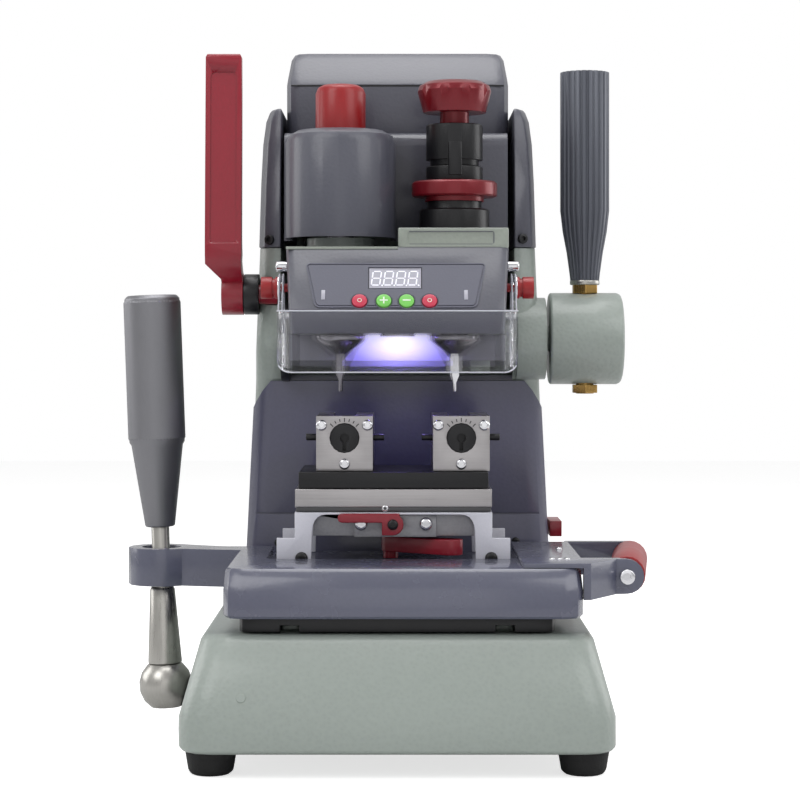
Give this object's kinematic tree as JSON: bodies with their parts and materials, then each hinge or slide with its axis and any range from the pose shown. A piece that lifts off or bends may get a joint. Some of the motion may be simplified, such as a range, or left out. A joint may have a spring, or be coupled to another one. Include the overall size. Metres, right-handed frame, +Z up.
{
  "type": "key duplicating machine",
  "caption": "Vertical key duplicating machine with a milling head on a C-shaped column, a tracer beside the cutter, two key vices on a sliding cross table and hand levers.",
  "frame": {"origin": "centre of the machine's overall box on the bench under its feet", "axes": "+Z up; -Y is the operator's side with the control panel; +X is the operator's right, the side of the head lever"},
  "size_m": [0.3214, 0.318, 0.42],
  "materials": {
    "pale_paint": "hammered satin",
    "dark_paint": "gloss",
    "grey_metal": "satin",
    "black_metal": "satin",
    "black_plastic": "matte",
    "rubber": "matte",
    "dark_grip": "satin, fluted",
    "red_plastic": "gloss",
    "green_plastic": "gloss",
    "red_metal": "gloss",
    "steel": "brushed",
    "chrome": "polished",
    "aluminium": "satin",
    "brass": "satin",
    "clear": "clear acrylic"
  },
  "bodies": {
    "frame": {"base_casting": "pale_paint", "foot_front_left": "rubber", "foot_front_right": "rubber", "foot_rear_left": "rubber", "foot_rear_right": "rubber", "column_casting": "pale_paint", "column_hood": "dark_paint", "splash_panel": "dark_paint", "rear_cover": "black_metal", "power_inlet": "black_plastic", "lever_bracket": "black_metal"},
    "power_switch": {"power_rocker": "red_plastic"},
    "cross_slide": {"cross_slide": "black_metal"},
    "table": {"table_tray": "dark_paint", "grip_bracket": "dark_paint", "bridge": "aluminium", "pivot_block": "grey_metal", "vice_bed": "steel", "vice_rail": "black_metal", "vice_body_left": "steel", "vice_body_right": "steel"},
    "lever_ball": {"lever_ball": "steel"},
    "hand_lever": {"lever_rod": "steel", "lever_grip": "aluminium"},
    "roller": {"grip_roller": "red_plastic"},
    "jaw_left": {"vice_jaw_left": "steel"},
    "jaw_right": {"vice_jaw_right": "steel"},
    "clamp_left": {"clamp_screw_left": "black_metal"},
    "clamp_right": {"clamp_screw_right": "black_metal"},
    "bed_lock": {"bed_lock_lever": "red_metal"},
    "table_lock": {"table_lock_lever": "red_metal"},
    "side_lock": {"side_lock_lever": "red_metal"},
    "head": {"head_casting": "pale_paint", "console": "dark_paint", "spindle_cover": "dark_paint", "motor_cover": "dark_paint", "motor": "black_metal", "drive_belt": "rubber", "tracer_body": "black_metal", "tracer_sleeve": "black_metal", "head_rack": "steel"},
    "spindle": {"spindle": "chrome", "cutter": "steel"},
    "cap": {"spindle_cap": "red_plastic"},
    "motor_shaft": {"motor_pulley": "steel"},
    "tracer_knob": {"tracer_knob": "red_metal"},
    "tracer_ring": {"tracer_ring": "red_metal"},
    "tracer_quill": {"tracer_chuck": "chrome", "tracer_pin": "chrome"},
    "shield": {"shield": "clear", "shield_knob_left": "red_plastic", "shield_knob_right": "red_plastic"},
    "button_motor": {"button_motor": "red_plastic"},
    "button_plus": {"button_plus": "green_plastic"},
    "button_minus": {"button_minus": "green_plastic"},
    "button_lamp": {"button_lamp": "red_plastic"},
    "head_lever": {"head_lever_hub": "pale_paint", "head_lever_rod": "brass", "head_lever_grip": "dark_grip"},
    "head_lock": {"head_lock_lever": "red_metal"}
  },
  "joints": [
    {"name": "cross_slide_y", "type": "slide", "parent": "frame", "child": "cross_slide", "axis": [0, 1, 0], "range_m": [-0.013, 0.013]},
    {"name": "table_x", "type": "slide", "parent": "cross_slide", "child": "table", "axis": [-1, 0, 0], "range_m": [-0.008, 0.024]},
    {"name": "lever_tilt_x", "type": "hinge", "parent": "frame", "child": "lever_ball", "pos_m": [-0.13533, 0.001, 0.028], "axis": [0, 1, 0], "range_deg": [-20.63, 6.88]},
    {"name": "lever_tilt_y", "type": "hinge", "parent": "lever_ball", "child": "hand_lever", "pos_m": [-0.13533, 0.001, 0.028], "axis": [1, 0, 0], "range_deg": [-11.46, 11.46]},
    {"name": "head_lift", "type": "slide", "parent": "frame", "child": "head", "axis": [0, 0, -1], "range_m": [0, 0.03], "stiffness_N_per_m": 400, "springref_m": -0.16},
    {"name": "head_lever_turn", "type": "hinge", "parent": "frame", "child": "head_lever", "pos_m": [0.00698, 0.019, 0.2403], "axis": [1, 0, 0], "range_deg": [0, 85.94]},
    {"name": "head_lock_turn", "type": "hinge", "parent": "frame", "child": "head_lock", "pos_m": [-0.10302, -0.001, 0.2674], "axis": [1, 0, 0], "range_deg": [0, 50]},
    {"name": "spindle_spin", "type": "hinge", "parent": "head", "child": "spindle", "pos_m": [-0.02717, -0.031, 0.3], "axis": [0, 0, 1], "continuous": true},
    {"name": "motor_spin", "type": "hinge", "parent": "head", "child": "motor_shaft", "pos_m": [0.00698, 0.067, 0.335], "axis": [0, 0, 1], "continuous": true},
    {"name": "cap_press", "type": "slide", "parent": "head", "child": "cap", "axis": [0, 0, -1], "range_m": [0, 0.005], "stiffness_N_per_m": 900, "springref_m": -0.001},
    {"name": "tracer_knob_turn", "type": "hinge", "parent": "head", "child": "tracer_knob", "pos_m": [0.04113, -0.031, 0.38], "axis": [0, 0, 1], "range_deg": [-360, 360]},
    {"name": "tracer_feed", "type": "slide", "parent": "head", "child": "tracer_quill", "axis": [0, 0, 1], "range_m": [-0.001, 0.001], "stiffness_N_per_m": 60, "springref_m": 0.0248},
    {"name": "tracer_ring_turn", "type": "hinge", "parent": "head", "child": "tracer_ring", "pos_m": [0.04113, -0.031, 0.329], "axis": [0, 0, 1], "range_deg": [-90, 90]},
    {"name": "shield_tilt", "type": "hinge", "parent": "head", "child": "shield", "pos_m": [0.00698, -0.061, 0.27], "axis": [-1, 0, 0], "range_deg": [0, 95]},
    {"name": "roller_spin", "type": "hinge", "parent": "table", "child": "roller", "pos_m": [0.14368, -0.0475, 0.1054], "axis": [0.1213, 0.9926, 0], "continuous": true},
    {"name": "clamp_left_turn", "type": "hinge", "parent": "table", "child": "clamp_left", "pos_m": [-0.02397, -0.063, 0.1821], "axis": [0, 1, 0], "range_deg": [0, 180]},
    {"name": "jaw_left_slide", "type": "slide", "parent": "table", "child": "jaw_left", "axis": [1, 0, 0], "range_m": [0, 0.005]},
    {"name": "clamp_right_turn", "type": "hinge", "parent": "table", "child": "clamp_right", "pos_m": [0.04433, -0.063, 0.1821], "axis": [0, 1, 0], "range_deg": [0, 180]},
    {"name": "jaw_right_slide", "type": "slide", "parent": "table", "child": "jaw_right", "axis": [1, 0, 0], "range_m": [0, 0.005]},
    {"name": "bed_lock_turn", "type": "hinge", "parent": "table", "child": "bed_lock", "pos_m": [0.00428, -0.073, 0.1323], "axis": [0, 1, 0], "range_deg": [0, 40]},
    {"name": "table_lock_turn", "type": "hinge", "parent": "table", "child": "table_lock", "pos_m": [0.00298, -0.041, 0.118], "axis": [0, 0, 1], "range_deg": [-30, 20]},
    {"name": "side_lock_turn", "type": "hinge", "parent": "frame", "child": "side_lock", "pos_m": [0.10898, 0.069, 0.1205], "axis": [1, 0, 0], "range_deg": [0, 75]},
    {"name": "power_switch_rock", "type": "hinge", "parent": "frame", "child": "power_switch", "pos_m": [0.04698, 0.1433, 0.128], "axis": [1, 0, 0], "range_deg": [0, 9]},
    {"name": "button_motor_press", "type": "slide", "parent": "head", "child": "button_motor", "axis": [0, 0.8524, -0.5228], "range_m": [0, 0.001], "stiffness_N_per_m": 400, "springref_m": -0.0005},
    {"name": "button_plus_press", "type": "slide", "parent": "head", "child": "button_plus", "axis": [0, 0.8524, -0.5228], "range_m": [0, 0.001], "stiffness_N_per_m": 400, "springref_m": -0.0005},
    {"name": "button_minus_press", "type": "slide", "parent": "head", "child": "button_minus", "axis": [0, 0.8524, -0.5228], "range_m": [0, 0.001], "stiffness_N_per_m": 400, "springref_m": -0.0005},
    {"name": "button_lamp_press", "type": "slide", "parent": "head", "child": "button_lamp", "axis": [0, 0.8524, -0.5228], "range_m": [0, 0.001], "stiffness_N_per_m": 400, "springref_m": -0.0005}
  ],
  "couplings": [
    {"joint": "lever_tilt_x", "follows": "table_x", "rad_per_m": -13.1},
    {"joint": "lever_tilt_y", "follows": "cross_slide_y", "rad_per_m": -13.56},
    {"joint": "head_lever_turn", "follows": "head_lift", "rad_per_m": 50},
    {"joint": "motor_spin", "follows": "spindle_spin", "ratio": 0.79412},
    {"joint": "tracer_feed", "follows": "tracer_knob_turn", "m_per_rad": 0.00015915}
  ]
}
